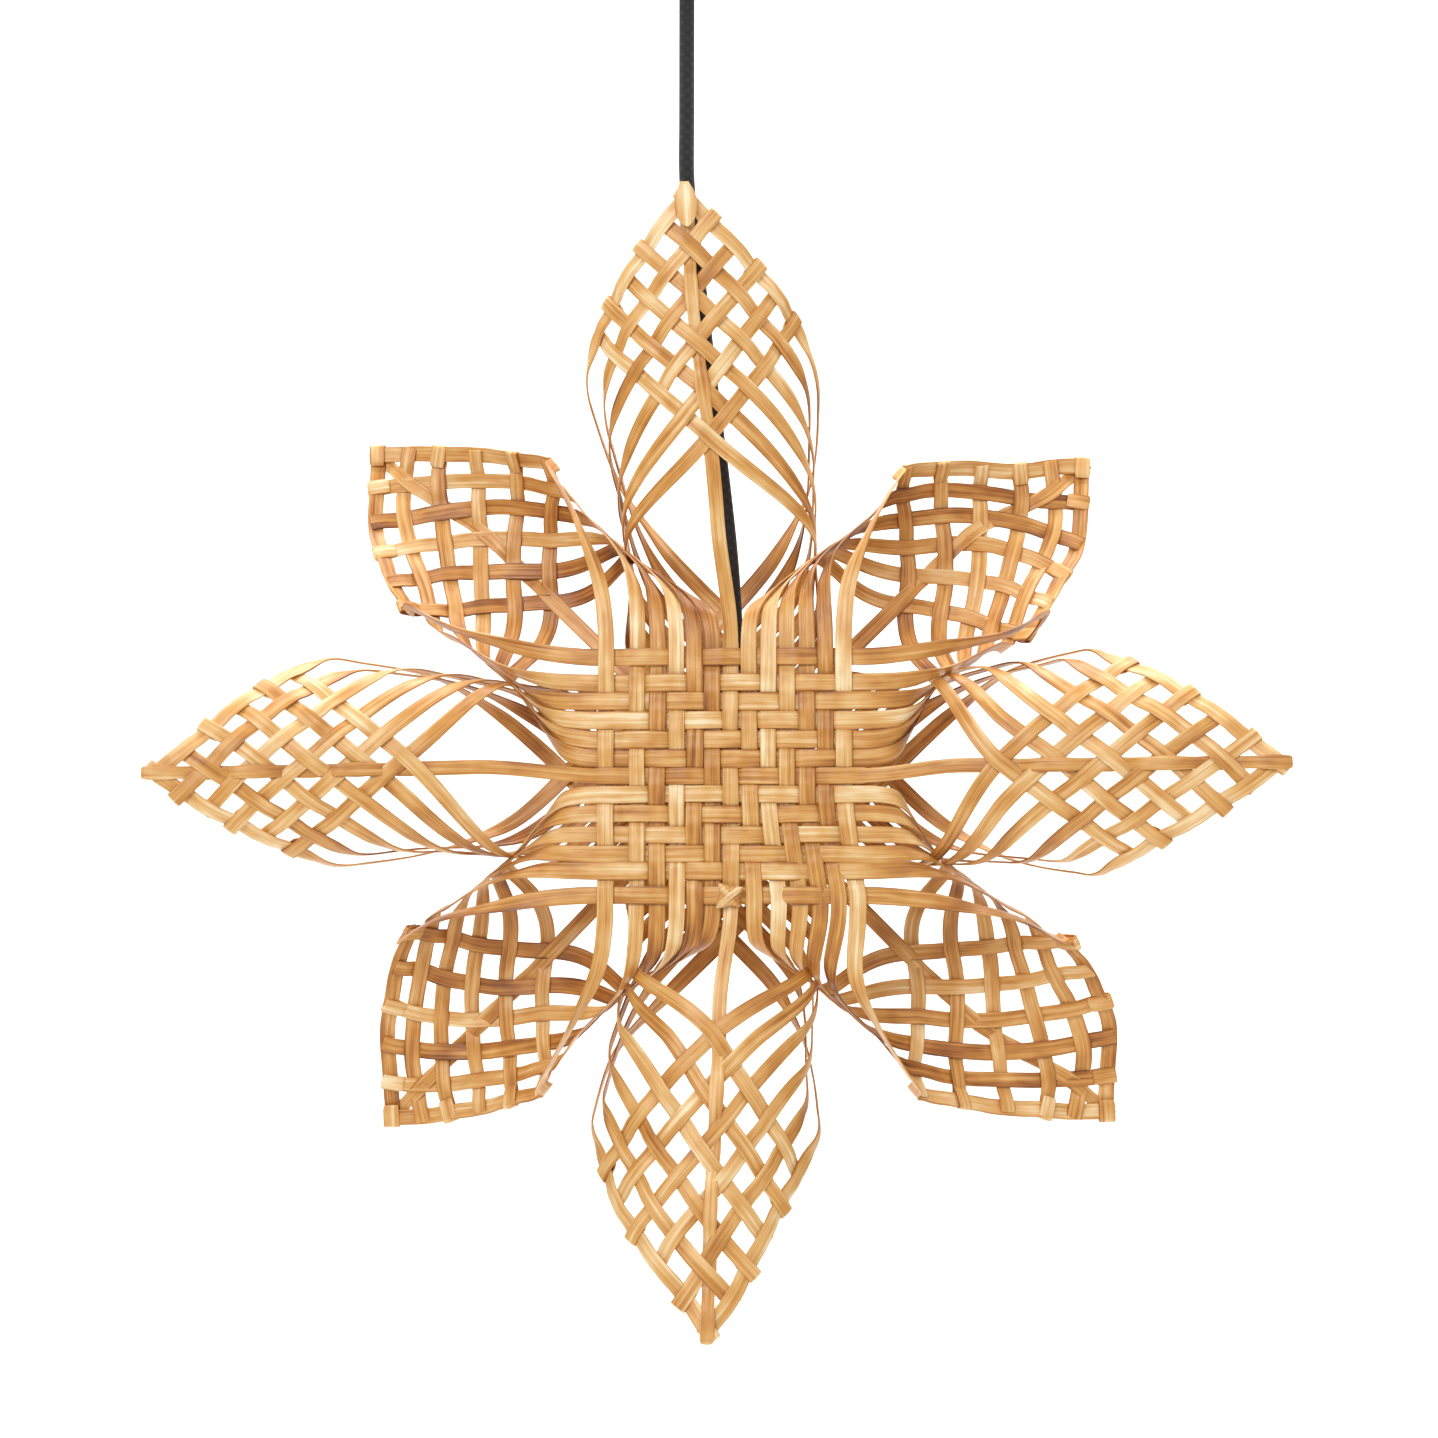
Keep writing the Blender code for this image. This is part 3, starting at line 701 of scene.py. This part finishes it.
def strip_rows(woven, family, index, wobble):
    """Points, normals and widths along a whole bent strip, from one petal through the mat to the next."""

    def half(forward):
        rows = []
        is_over = grid_side(family, abs(index), SIDE_STRIPS) > 0
        last = end_station(woven, END_SPARE if is_over else UNDER_SPARE)
        stations = [2 * step / (2 * BEND_STEPS) for step in range(1, 2 * BEND_STEPS)]
        stations += [2 + step / CROSSING_STEPS for step in range(5 * CROSSING_STEPS)]
        stations += [7 + (last - 7) * step / END_STEPS for step in range(END_STEPS + 1)]
        edge_height = mat_height(woven, family, index, MAT_EDGE if forward else -MAT_EDGE)
        for x in stations:
            height = petal_height(family, index, x, edge_height)
            if x > 7 and height < 0:
                height += 0.0004 * ((x - 7) / (last - 7)) ** 2
            point, normal = star_point(woven, family, index, forward, x, height)
            width = MAT_WIDTH[family] + (woven.petal_width - MAT_WIDTH[family]) * smooth_step(x / 1.2)
            width *= 1 - SIDE_NARROWING * smooth_step(x / 0.5) * (1 - smooth_step((x - 1.3) / 0.6))
            free = smooth_step(x / 0.7) * (1 - smooth_step((x - 6) / 1.2))
            # Painted shade on the bunched strips and painted light on the open grid, added to the strip's
            # tone.
            in_shaded_bunch = smooth_step(x / 0.5) * (1 - smooth_step((x - 1.2) / 0.8))
            tone_shift_and_painted_light = GRID_PAINTED_LIGHT * smooth_step(x - 2) + BUNCH_PAINTED_SHADE * in_shaded_bunch
            rows.append((point, normal, width, free, tone_shift_and_painted_light))
        if is_over:
            return rows[:-2] + turned_back(rows[-4][0], *rows[-3][:3])
        return rows

    middle = []
    steps = round(2 * MAT_EDGE / MAT_STEP)
    for step in range(steps + 1):
        place = -MAT_EDGE + 2 * MAT_EDGE * step / steps
        height = mat_height(woven, family, index, place)
        station = (abs(place) - MAT_EDGE) / MAT_PITCH
        point, normal = star_point(woven, family, index, place > 0, station, height)
        middle.append((point, normal, MAT_WIDTH[family], 0.0, 0.0))
    return wobbled(half(False)[::-1] + middle + half(True), wobble)


def turned_back(before, end, normal, width):
    """Rows of an end that is folded round the edge strip and tucked back along its own inner side."""
    ahead = (end - before).normalized()
    rows = []
    for step in range(1, 9):
        turn = math.pi * step / 9
        point = end + ahead * FOLD_RADIUS * math.sin(turn) - normal * FOLD_RADIUS * (1 - math.cos(turn))
        rows.append((point, normal * math.cos(turn) + ahead * math.sin(turn), width, 0.0, 0.13))
    for step in range(5):
        point = end - ahead * FOLD_LENGTH * step / 4 - normal * (2 * FOLD_RADIUS - 0.0003 * (step == 4))
        rows.append((point, -normal, width * (1 - 0.12 * (step == 4)), 0.0, 0.10))
    return rows


def wobbled(rows, wobble):
    """The rows, moved sideways by a slow waver of the hand, which is larger outside the mat."""
    waves = [(wobble.uniform(40, 80), wobble.uniform(0, 6.28), wobble.uniform(0.4, 1.0)) for _ in range(3)]
    own_width = wobble.uniform(0.95, 1.04)
    found = []
    distance = 0.0
    for number, (point, normal, width, free, tone_shift_and_painted_light) in enumerate(rows):
        ahead = rows[min(number + 1, len(rows) - 1)][0] - rows[max(number - 1, 0)][0]
        across = ahead.cross(normal).normalized()
        distance += ahead.length / 2
        waver = sum(size * math.sin(distance * pace + phase) for pace, phase, size in waves) / 3
        side = waver * (MAT_WAVER + FREE_WAVER * free)
        found.append((point + across * side, normal, width * (own_width + 0.05 * waver), tone_shift_and_painted_light))
    return found


def fan_out(rows, family, index):
    """The front mat's lower right corner, where the upright strips already spread inside the mat."""
    if family != "first" or index < 1:
        return rows
    found = []
    for point, normal, width, tone_shift_and_painted_light in rows:
        low = min(1, max(0, (-0.012 - point.z) / 0.040)) ** 1.2
        past = smooth_step((-0.056 - point.z) / 0.040)
        push = FAN_WIDTH * min(1.0, index / 2.5) * low * (1 - past)
        found.append((point + Vector((push, 0, 0)), normal, width, tone_shift_and_painted_light))
    return found


def spoke_rows(woven, family, wobble):
    """A straight middle strip, woven into the other piece's petals as far as their tips."""
    along, _ = strip_direction(woven, family)
    normal = Vector((0, -woven.facing, 0))

    def place(distance, height):
        petal = compass_of((along if distance > 0 else along + 180) % 360)
        past_mat = (abs(distance) - MAT_EDGE) / SPOKE_SHIFT_LENGTH
        return settled(woven, in_plane(along) * distance + normal * height, petal, past_mat)

    def ridge(distance):
        return MAT_HEIGHT + (TIP_HEIGHT - MAT_HEIGHT) * (distance - MAT_EDGE) / (woven.other_tip - MAT_EDGE)

    def side_of(crossed):
        return 1 if crossed % 2 == 0 else -1

    def half(sign):
        rows = []
        petal = compass_of((along if sign > 0 else along + 180) % 360)
        flapped = petal == "north"
        edge = mat_height(woven, family, 0, sign * MAT_EDGE)
        steps = 40
        first = woven.other_first - DRAWN_IN.get(petal, 0)
        pitch = (woven.other_tip - first) / (SIDE_STRIPS - 1)
        for step in range(1, steps):
            distance = MAT_EDGE + (first - MAT_EDGE) * step / steps
            share = smooth_step(step / steps * 1.4)
            height = edge + (SPOKE_RELIEF * side_of(1) - edge) * share
            point = place(sign * distance, ridge(distance) + height)
            rows.append((point, normal, woven.spoke_width, 0.3, 0.0))
        for crossed in range(1, SIDE_STRIPS):
            for step in range(10):
                share = step / 10
                distance = first + (crossed - 1 + share) * pitch
                there = -1 if flapped and crossed == SIDE_STRIPS - 1 else side_of(crossed + 1)
                height = SPOKE_RELIEF * between(side_of(crossed), there, share, 1.5)
                pinch = math.sin(math.pi * share) ** 2 if side_of(crossed) != there else 0
                rows.append((
                    place(sign * distance, ridge(distance) + height), normal,
                    woven.spoke_width * (1 - 0.16 * pinch), 0.0, 0.0,
                ))
        return rows + (flap(sign) if flapped else fold(sign))

    def fold(sign):
        """The end past the last crossing, which on the front piece is bent round the tip to its inner side."""
        rows = []
        tip = woven.other_tip
        turn_at = tip + 0.0036
        radius = SPOKE_RELIEF
        for step in range(5):
            distance = tip + (turn_at - tip) * step / 4
            width = woven.spoke_width * (1 - 0.12 * step / 4)
            rows.append((place(sign * distance, ridge(distance) + SPOKE_RELIEF), normal, width, 0.0, 0.04))
        if woven is BACK:
            return rows
        for step in range(1, 12):
            turn = math.pi * step / 12
            up = normal * math.cos(turn) + in_plane(along) * sign * math.sin(turn)
            distance = turn_at + radius * math.sin(turn)
            height = SPOKE_RELIEF - radius * (1 - math.cos(turn))
            width = woven.spoke_width * (0.88 - 0.16 * math.sin(turn))
            rows.append((place(sign * distance, ridge(turn_at) + height), up, width, 0.0, 0.10))
        for step in range(5):
            distance = turn_at - FOLD_LENGTH * step / 4
            width = woven.spoke_width * (0.90 - 0.25 * (step == 4))
            rows.append((place(sign * distance, ridge(distance) - SPOKE_RELIEF), -normal, width, 0.0, 0.06))
        return rows

    def flap(sign):
        """The upper end, bent over the petal's tip to its outer side and cut to a point."""
        rows = []
        tip = woven.other_tip
        turn_at = tip + 0.0042
        radius = SPOKE_RELIEF + 0.0002
        for step in range(5):
            distance = tip + (turn_at - tip) * step / 4
            width = woven.spoke_width * (1 - 0.30 * step / 4)
            rows.append((place(sign * distance, ridge(distance) - SPOKE_RELIEF), normal, width, 0.0, 0.0))
        for step in range(1, 12):
            turn = math.pi * step / 12
            up = normal * math.cos(turn) + in_plane(along) * (-sign) * math.sin(turn)
            distance = turn_at + radius * math.sin(turn)
            height = -SPOKE_RELIEF + radius * (1 - math.cos(turn))
            width = woven.spoke_width * (0.74 - 0.22 * math.sin(turn))
            rows.append((place(sign * distance, ridge(turn_at) + height), up, width, 0.0, 0.20))
        for step in range(15):
            share = step / 14
            distance = turn_at - FLAP_LENGTH * share
            point_width = FLAP_WIDTH * (0.50 + 0.50 * math.sin(math.pi / 2 * min(1, share / 0.4)))
            point_width *= math.sqrt(1.02 - max(0, (share - 0.45) / 0.55) ** 2)
            height = -SPOKE_RELIEF + 2 * radius + 0.0006 * math.sin(math.pi * share)
            rows.append((place(sign * distance, ridge(distance) + height), -normal, point_width, 0.0, 0.34))
        return rows

    middle = []
    steps = round(2 * MAT_EDGE / MAT_STEP)
    for step in range(steps + 1):
        spot = -MAT_EDGE + 2 * MAT_EDGE * step / steps
        height = mat_height(woven, family, 0, spot)
        middle.append((place(spot, MAT_HEIGHT + height), normal, MAT_WIDTH[family], 0.0, 0.0))
    return wobbled(half(-1)[::-1] + middle + half(1), wobble)


# Rattan cane, split and shaved: long straight fibres with paler glossy streaks, satin, honey brown. Its
# colour differs from strip to strip, which each strip carries as its tone, from 0 dark to 1 pale. The tone
# also carries painted light and shade along each strip and over the knot.
CANE_TONES = [
    (0.00, "#5f300c"), (0.25, "#a46426"), (0.50, "#cb8f45"), (0.72, "#deaf6e"), (1.00, "#f5e0b6"),
]
# Painted shade on the strips' inner faces, which face into the star.
INNER_SIDE_PAINTED_SHADE = -0.10
FIBRE_WIDTH = 0.00035
FIBRE_LENGTH = 0.030
STREAK_WIDTH = 0.0016
STREAK_LENGTH = 0.060
BLOTCH_SIZE = 0.022

cane, tree, shader = new_material("Split rattan cane")
uv = add_node(tree, "ShaderNodeUVMap", uv_map="UVMap")
tone_and_painted_shading = add_node(tree, "ShaderNodeAttribute", attribute_name="tone_and_painted_shading", attribute_type="GEOMETRY")
patterns = {}
for label, wide, long, detail in (
    ("fibres", FIBRE_WIDTH, FIBRE_LENGTH, 3.0),
    ("streaks", STREAK_WIDTH, STREAK_LENGTH, 2.0),
    ("blotches", BLOTCH_SIZE * 0.4, BLOTCH_SIZE, 2.0),
):
    scaled = add_node(
        tree, "ShaderNodeMapping", [("Vector", uv.outputs["UV"]), ("Scale", (1 / wide, 1 / long, 1))]
    )
    patterns[label] = add_node(
        tree, "ShaderNodeTexNoise",
        [("Vector", scaled.outputs["Vector"]), ("Scale", 1.0), ("Detail", detail)],
    )
shade = tone_and_painted_shading.outputs["Fac"]
for label, weight in (("fibres", 0.60), ("streaks", 0.85), ("blotches", 0.85)):
    scaled = add_node(
        tree, "ShaderNodeMath", [(0, patterns[label].outputs["Fac"]), (1, weight), (2, -weight / 2)],
        operation="MULTIPLY_ADD",
    )
    shade = add_node(
        tree, "ShaderNodeMath", [(0, shade), (1, scaled.outputs[0])], operation="ADD"
    ).outputs[0]
# Darker along each strip's long edges: partly the cut edges' browner colour, partly painted contact shade
# where the strips lie against one another.
across = add_node(tree, "ShaderNodeSeparateXYZ", [("Vector", uv.outputs["UV"])])
from_middle = add_node(tree, "ShaderNodeMath", [(0, across.outputs["X"])], operation="ABSOLUTE")
rim = add_node(
    tree, "ShaderNodeMapRange",
    [("Value", from_middle.outputs[0]), ("From Min", 0.0027), ("From Max", 0.0036),
     ("To Min", 0.0), ("To Max", -0.26)],
    interpolation_type="SMOOTHSTEP",
)
shade = add_node(
    tree, "ShaderNodeMath", [(0, shade), (1, rim.outputs["Result"])], operation="ADD"
).outputs[0]
ramp = add_node(tree, "ShaderNodeValToRGB", [("Fac", shade)], [("Color", shader.inputs["Base Color"])])
for place, code in CANE_TONES[1:-1]:
    ramp.color_ramp.elements.new(place)
for element, (place, code) in zip(ramp.color_ramp.elements, CANE_TONES):
    element.position = place
    element.color = linear(code)
add_node(
    tree, "ShaderNodeMapRange",
    [("Value", patterns["fibres"].outputs["Fac"]), ("From Min", 0.3), ("From Max", 0.7), ("To Min", 0.46),
     ("To Max", 0.30)],
    [("Result", shader.inputs["Roughness"])],
)
grain = add_node(
    tree, "ShaderNodeMath",
    [(0, patterns["streaks"].outputs["Fac"]), (1, 1.6), (2, patterns["fibres"].outputs["Fac"])],
    operation="MULTIPLY_ADD",
)
add_node(
    tree, "ShaderNodeBump", [("Height", grain.outputs[0]), ("Strength", 0.7), ("Distance", 0.00022)],
    [("Normal", shader.inputs["Normal"])],
)
shader.inputs["IOR"].default_value = 1.5

STRIP_COLUMNS = 7
CROWN = 0.00018


def cane_strip(name, rows, tone_value, wobble):
    """A band of cane along the rows: crowned across, given its thickness, its long edges rounded."""
    count = len(rows)
    lengths = [0.0]
    for here, there in zip(rows, rows[1:]):
        lengths.append(lengths[-1] + (there[0] - here[0]).length)
    across = []
    for number in range(count):
        ahead = rows[min(number + 1, count - 1)][0] - rows[max(number - 1, 0)][0]
        across.append(ahead.cross(rows[number][1]).normalized())
    start = wobble.uniform(0, 5)

    def skin(column, row):
        point, normal, width, _ = rows[column]
        share = 2 * row / (STRIP_COLUMNS - 1) - 1
        sideways = across[column] * width / 2 * share
        return STAR_CENTRE + point + sideways + normal * CROWN * (0.5 - share * share)

    def pattern(column, row):
        share = 2 * row / (STRIP_COLUMNS - 1) - 1
        return share * rows[column][2] / 2, start + lengths[column]

    strip = grid_piece(name, count, STRIP_COLUMNS)
    shape_grid(strip, count, STRIP_COLUMNS, skin, pattern)
    wall = strip.modifiers.new("Thickness", "SOLIDIFY")
    wall.thickness = STRIP_THICKNESS
    wall.offset = 0
    edges = strip.modifiers.new("Edges", "BEVEL")
    edges.width = 0.00018
    edges.segments = 2
    edges.limit_method = "ANGLE"
    edges.angle_limit = math.radians(50)
    apply_modifiers(strip)
    smooth_faces(strip, 50)
    values = []
    for face in strip.data.polygons:
        for corner in face.loop_indices:
            distance = strip.data.uv_layers[0].data[corner].uv[1] - start
            number = min(bisect.bisect_left(lengths, distance), count - 1)
            # Faces turned into the star get painted shade.
            inner = INNER_SIDE_PAINTED_SHADE if face.normal.dot(rows[number][1]) < -0.3 else 0
            values.append(tone_value + rows[number][3] + inner)
    strip.data.attributes.new("tone_and_painted_shading", "FLOAT", "CORNER").data.foreach_set("value", values)
    strip.data.materials.append(cane)
    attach(strip, "root")
    return strip


# The 52 strips, each from the left or the lowest to the last, with its tone.
STRIP_TONES = {
    "front_upright": [0.66, 0.68, 0.44, 0.76, 0.42, 0.40, 0.62, 0.60, 0.76, 0.58, 0.44, 0.40, 0.74],
    "front_level": [0.52, 0.60, 0.58, 0.66, 0.56, 0.74, 0.48, 0.50, 0.60, 0.74, 0.60, 0.62, 0.50],
    "back_falling": [0.62, 0.50, 0.66, 0.56, 0.60, 0.50, 0.62, 0.52, 0.64, 0.58, 0.46, 0.62, 0.70],
    "back_rising": [0.64, 0.56, 0.50, 0.66, 0.54, 0.60, 0.60, 0.66, 0.50, 0.58, 0.62, 0.48, 0.66],
}
for woven, family, label in (
    (FRONT, "first", "front_upright"),
    (FRONT, "second", "front_level"),
    (BACK, "first", "back_falling"),
    (BACK, "second", "back_rising"),
):
    for index in MAT_ROWS:
        number = index + SIDE_STRIPS + 1
        wobble = random.Random(f"{label} {number}")
        if index == 0:
            rows = spoke_rows(woven, family, wobble)
            node = label + "_spoke"
        else:
            rows = strip_rows(woven, family, index, wobble)
            if woven is FRONT:
                rows = fan_out(rows, family, index)
            node = f"{label}_strip_{number:02d}"
        tone_value = STRIP_TONES[label][number - 1]
        strip = cane_strip(node.replace("strip", "cane") + "_band", rows, tone_value, wobble)
        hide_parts(node)

# Tie knot: a narrow strip of peeled cane, folded tight over the front mat's lowest row into a small flat
# square. One fold runs from its lower left corner to its upper right one, over another. Both folds are painted
# pale as painted light, and the lower right triangle is painted dark as painted shade.
KNOT_PLACE = STAR_CENTRE + Vector((FRONT_MAT_SHIFT[0], -MAT_HEIGHT - 0.0014, FRONT_MAT_SHIFT[1] - 0.0485))
KNOT_CORNERS = [(-0.0045, 0.0052), (0.0049, 0.0036), (0.0042, -0.0037), (-0.0055, -0.0043)]
KNOT_HEIGHT = 0.0027
KNOT_STEPS = 36


def knot_shape(column, row):
    """Point of the knot's skin: column from left to right, row from bottom to top."""
    u = 2 * column / KNOT_STEPS - 1
    v = 2 * row / KNOT_STEPS - 1
    upper_left, upper_right, lower_right, lower_left = [Vector((x, 0, z)) for x, z in KNOT_CORNERS]
    upper = upper_left.lerp(upper_right, (u + 1) / 2)
    lower = lower_left.lerp(lower_right, (u + 1) / 2)
    edge = max(abs(u), abs(v))
    off_diagonal = abs(abs(u) - abs(v))
    spot = lower.lerp(upper, (v + 1) / 2) * (1 - 0.15 * off_diagonal ** 2)
    height = KNOT_HEIGHT * (1 - 0.25 * edge - 0.32 * off_diagonal)
    height -= 0.0012 * smooth_step((edge - 0.8) / 0.2)
    height += 0.0009 * (1 - smooth_step((abs(u - v) - 0.26) / 0.12))
    if u < v:
        height += 0.0006 * (1 - smooth_step((abs(u + v) - 0.24) / 0.12))
    return KNOT_PLACE + spot + Vector((0, -height, 0))


knot = grid_piece("tie_knot_folds", KNOT_STEPS + 1, KNOT_STEPS + 1)
shape_grid(
    knot, KNOT_STEPS + 1, KNOT_STEPS + 1, knot_shape,
    lambda column, row: (0.0022 * math.sin((column - row) * 0.35), (column + row) * 0.0002),
)
# Painted light and shade on the knot: the two folds are painted pale as if lit, the lower right triangle is
# painted dark as in shade, and the rest is a mid tone.
knot_painted_light_and_shade = []
for vertex in knot.data.vertices:
    spot = vertex.co - KNOT_PLACE
    on_lit_fold = abs(spot.x - spot.z) < 0.0015 or (spot.x < spot.z and abs(spot.x + spot.z) < 0.0014)
    in_shade = spot.x > spot.z and spot.x > -spot.z
    knot_painted_light_and_shade.append(0.86 if on_lit_fold else 0.40 if in_shade else 0.66)
knot.data.attributes.new("tone_and_painted_shading", "FLOAT", "POINT").data.foreach_set("value", knot_painted_light_and_shade)
wall = knot.modifiers.new("Thickness", "SOLIDIFY")
wall.thickness = 0.0006
wall.offset = 0
apply_modifiers(knot)
smooth_faces(knot, 40)
knot.data.materials.append(cane)
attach(knot, "root")
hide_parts("tie_knot")

# Plain pale floor that curves up into a backdrop far behind, and soft studio light.
FLOOR_HEIGHT = -1.15
FLOOR_FRONT = -9
BACKDROP_DEPTH = 2.6
BACKDROP_BEND = 1.5
BACKDROP_HEIGHT = 2.4
BACKDROP_HALF_WIDTH = 2.7
floor = grid_piece("studio_floor", 41, 2)


def sweep(column, row):
    """The floor's section: level, round a wide corner, and up."""
    side = (row * 2 - 1) * BACKDROP_HALF_WIDTH
    if column <= 10:
        return Vector((side, FLOOR_FRONT + (BACKDROP_DEPTH - FLOOR_FRONT) * column / 10, FLOOR_HEIGHT))
    if column <= 30:
        turn = math.pi / 2 * (column - 10) / 20
        depth = BACKDROP_DEPTH + BACKDROP_BEND * math.sin(turn)
        return Vector((side, depth, FLOOR_HEIGHT + BACKDROP_BEND * (1 - math.cos(turn))))
    height = FLOOR_HEIGHT + BACKDROP_BEND + BACKDROP_HEIGHT * (column - 30) / 10
    return Vector((side, BACKDROP_DEPTH + BACKDROP_BEND, height))


shape_grid(floor, 41, 2, sweep, lambda column, row: (column / 40, row))
smooth_faces(floor)
paper, tree, shader = new_material("White paper backdrop")
shader.inputs["Base Color"].default_value = linear("#f4f4f2")
shader.inputs["Roughness"].default_value = 0.9
floor.data.materials.append(paper)


def soft_light(name, place, aim, size, power):
    """A large square studio light that faces a point."""
    bpy.ops.object.light_add(type="AREA", location=place)
    light = bpy.context.object
    light.name = name
    light.rotation_euler = (Vector(aim) - Vector(place)).to_track_quat("-Z", "Y").to_euler()
    light.data.size = size
    light.data.energy = power


soft_light("key_light", (-0.55, -1.7, 0.40), STAR_CENTRE, 0.9, 23.5)
soft_light("fill_light", (1.5, -1.6, 0.2), STAR_CENTRE, 1.2, 8)
soft_light("backdrop_light", (0, 0.8, 1.6), (0, 4.0, -0.6), 3.0, 190)
world = bpy.data.worlds.new("Studio")
world.use_nodes = True
world.node_tree.nodes["Background"].inputs["Color"].default_value = linear("#ffffff")
world.node_tree.nodes["Background"].inputs["Strength"].default_value = 0.34
bpy.context.scene.world = world
bpy.context.scene.view_settings.view_transform = "Standard"
